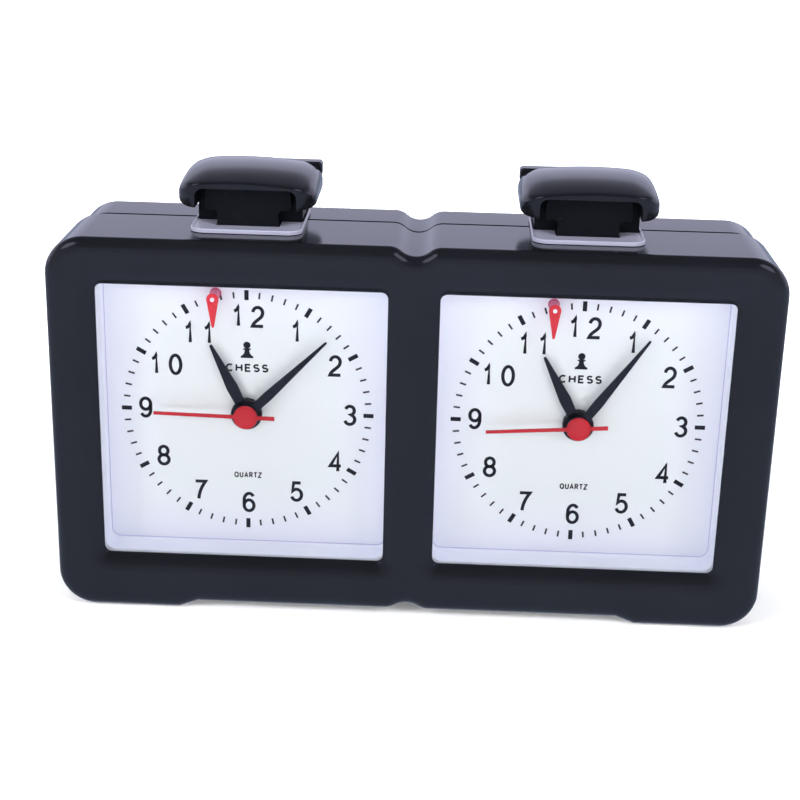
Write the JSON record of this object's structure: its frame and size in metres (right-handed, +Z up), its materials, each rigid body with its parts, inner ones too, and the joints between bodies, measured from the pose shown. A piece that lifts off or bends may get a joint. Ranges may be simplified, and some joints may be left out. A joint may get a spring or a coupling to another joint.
{
  "type": "analogue chess clock",
  "caption": "Twin-dial analogue chess clock: two quartz clocks in one case, push buttons on top tied by a rocking lever, falling flags, setting knobs and battery doors on the back.",
  "frame": {"origin": "middle of the footprint, on the table, under the case", "axes": "+X to the right seen from the dials, +Y to the back, +Z up"},
  "size_m": [0.19, 0.0484, 0.1179],
  "materials": {
    "case_black": "satin moulded plastic, very slightly blue black",
    "button_black": "polished black plastic",
    "knob_black": "satin black plastic",
    "collar_grey": "light grey plastic with a bright raised rim",
    "lens": "clear moulded plastic",
    "white_plastic": "white plastic, slightly satin",
    "dial_print": "white printed plate",
    "hand_black": "black lacquer",
    "red_plastic": "red plastic",
    "movement_plastic": "dark grey moulded plastic",
    "gear_plastic": "pale acetal plastic",
    "brass": "turned brass",
    "steel": "plain steel",
    "copper": "enamelled copper winding on a stamped core",
    "magnet": "sintered magnet, matt dark grey",
    "battery_jacket": "plain printed sleeve, no lettering"
  },
  "bodies": {
    "case": {"front_case": "case_black", "rear_case": "case_black", "rocker_pin": "steel", "case_screw_left": "steel", "lens_left": "lens", "dial_surround_left": "white_plastic", "dial_left": "dial_print", "dial_nut_left": "brass", "movement_base_left": "movement_plastic", "movement_cover_left": "movement_plastic", "motor_coil_left": "copper", "battery_left": "battery_jacket", "contact_positive_left": "steel", "contact_negative_left": "steel", "button_collar_left": "collar_grey", "case_screw_right": "steel", "lens_right": "lens", "dial_surround_right": "white_plastic", "dial_right": "dial_print", "dial_nut_right": "brass", "movement_base_right": "movement_plastic", "movement_cover_right": "movement_plastic", "motor_coil_right": "copper", "battery_right": "battery_jacket", "contact_positive_right": "steel", "contact_negative_right": "steel", "button_collar_right": "collar_grey"},
    "rocker": {"rocker_lever": "gear_plastic"},
    "button_left": {"button_left": "button_black"},
    "stop_lever_left": {"stop_lever_left": "steel"},
    "minute_hand_left": {"minute_hand_left": "hand_black", "cannon_pinion_left": "brass"},
    "hour_hand_left": {"hour_hand_left": "hand_black", "hour_wheel_left": "gear_plastic"},
    "setting_knob_left": {"setting_knob_left": "knob_black", "motion_wheel_left": "gear_plastic"},
    "second_hand_left": {"second_hand_left": "red_plastic", "second_wheel_left": "gear_plastic"},
    "intermediate_wheel_left": {"intermediate_wheel_left": "gear_plastic"},
    "third_wheel_left": {"third_wheel_left": "gear_plastic"},
    "centre_wheel_left": {"centre_wheel_left": "brass"},
    "rotor_left": {"rotor_left": "magnet"},
    "flag_left": {"flag_left": "red_plastic"},
    "battery_door_left": {"battery_door_left": "case_black"},
    "button_right": {"button_right": "button_black"},
    "stop_lever_right": {"stop_lever_right": "steel"},
    "minute_hand_right": {"minute_hand_right": "hand_black", "cannon_pinion_right": "brass"},
    "hour_hand_right": {"hour_hand_right": "hand_black", "hour_wheel_right": "gear_plastic"},
    "setting_knob_right": {"setting_knob_right": "knob_black", "motion_wheel_right": "gear_plastic"},
    "second_hand_right": {"second_hand_right": "red_plastic", "second_wheel_right": "gear_plastic"},
    "intermediate_wheel_right": {"intermediate_wheel_right": "gear_plastic"},
    "third_wheel_right": {"third_wheel_right": "gear_plastic"},
    "centre_wheel_right": {"centre_wheel_right": "brass"},
    "rotor_right": {"rotor_right": "magnet"},
    "flag_right": {"flag_right": "red_plastic"},
    "battery_door_right": {"battery_door_right": "case_black"}
  },
  "joints": [
    {"name": "rocker", "type": "hinge", "parent": "case", "child": "rocker", "pos_m": [0, 0.0028, 0.09], "axis": [0, 1, 0], "range_deg": [-4.53, 4.53]},
    {"name": "button_left", "type": "slide", "parent": "case", "child": "button_left", "axis": [0, 0, 1], "range_m": [-0.00351, 0.00351]},
    {"name": "stop_lever_left", "type": "hinge", "parent": "case", "child": "stop_lever_left", "pos_m": [-0.0425, 0.0098, 0.09], "axis": [0, 1, 0], "range_deg": [-7.2, 7.2]},
    {"name": "button_right", "type": "slide", "parent": "case", "child": "button_right", "axis": [0, 0, 1], "range_m": [-0.00351, 0.00351]},
    {"name": "stop_lever_right", "type": "hinge", "parent": "case", "child": "stop_lever_right", "pos_m": [0.0425, 0.0098, 0.09], "axis": [0, 1, 0], "range_deg": [-7.2, 7.2]},
    {"name": "minute_hand_left", "type": "hinge", "parent": "case", "child": "minute_hand_left", "pos_m": [-0.0445, -0.0102, 0.0532], "axis": [0, 1, 0], "continuous": true},
    {"name": "hour_hand_left", "type": "hinge", "parent": "case", "child": "hour_hand_left", "pos_m": [-0.0445, -0.0102, 0.0532], "axis": [0, 1, 0], "continuous": true},
    {"name": "setting_knob_left", "type": "hinge", "parent": "case", "child": "setting_knob_left", "pos_m": [-0.03723, -0.0102, 0.049], "axis": [0, 1, 0], "continuous": true},
    {"name": "second_hand_left", "type": "hinge", "parent": "case", "child": "second_hand_left", "pos_m": [-0.0445, -0.0102, 0.0532], "axis": [0, 1, 0], "continuous": true},
    {"name": "intermediate_wheel_left", "type": "hinge", "parent": "case", "child": "intermediate_wheel_left", "pos_m": [-0.04233, -0.0102, 0.06131], "axis": [0, 1, 0], "continuous": true},
    {"name": "rotor_left", "type": "hinge", "parent": "case", "child": "rotor_left", "pos_m": [-0.04593, -0.0102, 0.06755], "axis": [0, 1, 0], "continuous": true},
    {"name": "third_wheel_left", "type": "hinge", "parent": "case", "child": "third_wheel_left", "pos_m": [-0.05254, -0.0102, 0.05462], "axis": [0, 1, 0], "continuous": true},
    {"name": "centre_wheel_left", "type": "hinge", "parent": "case", "child": "centre_wheel_left", "pos_m": [-0.0445, -0.0102, 0.0532], "axis": [0, 1, 0], "continuous": true},
    {"name": "flag_left", "type": "hinge", "parent": "case", "child": "flag_left", "pos_m": [-0.05265, -0.0102, 0.0862], "axis": [0, -1, 0], "range_deg": [0, 80]},
    {"name": "battery_door_left", "type": "slide", "parent": "case", "child": "battery_door_left", "axis": [0, 1, 0], "range_m": [0, 0.03]},
    {"name": "minute_hand_right", "type": "hinge", "parent": "case", "child": "minute_hand_right", "pos_m": [0.0445, -0.0102, 0.0532], "axis": [0, 1, 0], "continuous": true},
    {"name": "hour_hand_right", "type": "hinge", "parent": "case", "child": "hour_hand_right", "pos_m": [0.0445, -0.0102, 0.0532], "axis": [0, 1, 0], "continuous": true},
    {"name": "setting_knob_right", "type": "hinge", "parent": "case", "child": "setting_knob_right", "pos_m": [0.05177, -0.0102, 0.049], "axis": [0, 1, 0], "continuous": true},
    {"name": "second_hand_right", "type": "hinge", "parent": "case", "child": "second_hand_right", "pos_m": [0.0445, -0.0102, 0.0532], "axis": [0, 1, 0], "continuous": true},
    {"name": "intermediate_wheel_right", "type": "hinge", "parent": "case", "child": "intermediate_wheel_right", "pos_m": [0.04667, -0.0102, 0.06131], "axis": [0, 1, 0], "continuous": true},
    {"name": "rotor_right", "type": "hinge", "parent": "case", "child": "rotor_right", "pos_m": [0.04307, -0.0102, 0.06755], "axis": [0, 1, 0], "continuous": true},
    {"name": "third_wheel_right", "type": "hinge", "parent": "case", "child": "third_wheel_right", "pos_m": [0.03646, -0.0102, 0.05462], "axis": [0, 1, 0], "continuous": true},
    {"name": "centre_wheel_right", "type": "hinge", "parent": "case", "child": "centre_wheel_right", "pos_m": [0.0445, -0.0102, 0.0532], "axis": [0, 1, 0], "continuous": true},
    {"name": "flag_right", "type": "hinge", "parent": "case", "child": "flag_right", "pos_m": [0.03635, -0.0102, 0.0862], "axis": [0, -1, 0], "range_deg": [0, 80]},
    {"name": "battery_door_right", "type": "slide", "parent": "case", "child": "battery_door_right", "axis": [0, 1, 0], "range_m": [0, 0.03]}
  ],
  "couplings": [
    {"joint": "button_left", "follows": "rocker", "m_per_rad": 0.0443},
    {"joint": "stop_lever_left", "follows": "rocker", "ratio": -1.5758},
    {"joint": "button_right", "follows": "rocker", "m_per_rad": -0.0443},
    {"joint": "stop_lever_right", "follows": "rocker", "ratio": -1.5758},
    {"joint": "hour_hand_left", "follows": "minute_hand_left", "ratio": 0.083333},
    {"joint": "setting_knob_left", "follows": "minute_hand_left", "ratio": -0.33333},
    {"joint": "intermediate_wheel_left", "follows": "second_hand_left", "ratio": -6},
    {"joint": "rotor_left", "follows": "second_hand_left", "ratio": 30},
    {"joint": "third_wheel_left", "follows": "second_hand_left", "ratio": -0.13333},
    {"joint": "centre_wheel_left", "follows": "second_hand_left", "ratio": 0.016667},
    {"joint": "hour_hand_right", "follows": "minute_hand_right", "ratio": 0.083333},
    {"joint": "setting_knob_right", "follows": "minute_hand_right", "ratio": -0.33333},
    {"joint": "intermediate_wheel_right", "follows": "second_hand_right", "ratio": -6},
    {"joint": "rotor_right", "follows": "second_hand_right", "ratio": 30},
    {"joint": "third_wheel_right", "follows": "second_hand_right", "ratio": -0.13333},
    {"joint": "centre_wheel_right", "follows": "second_hand_right", "ratio": 0.016667}
  ]
}
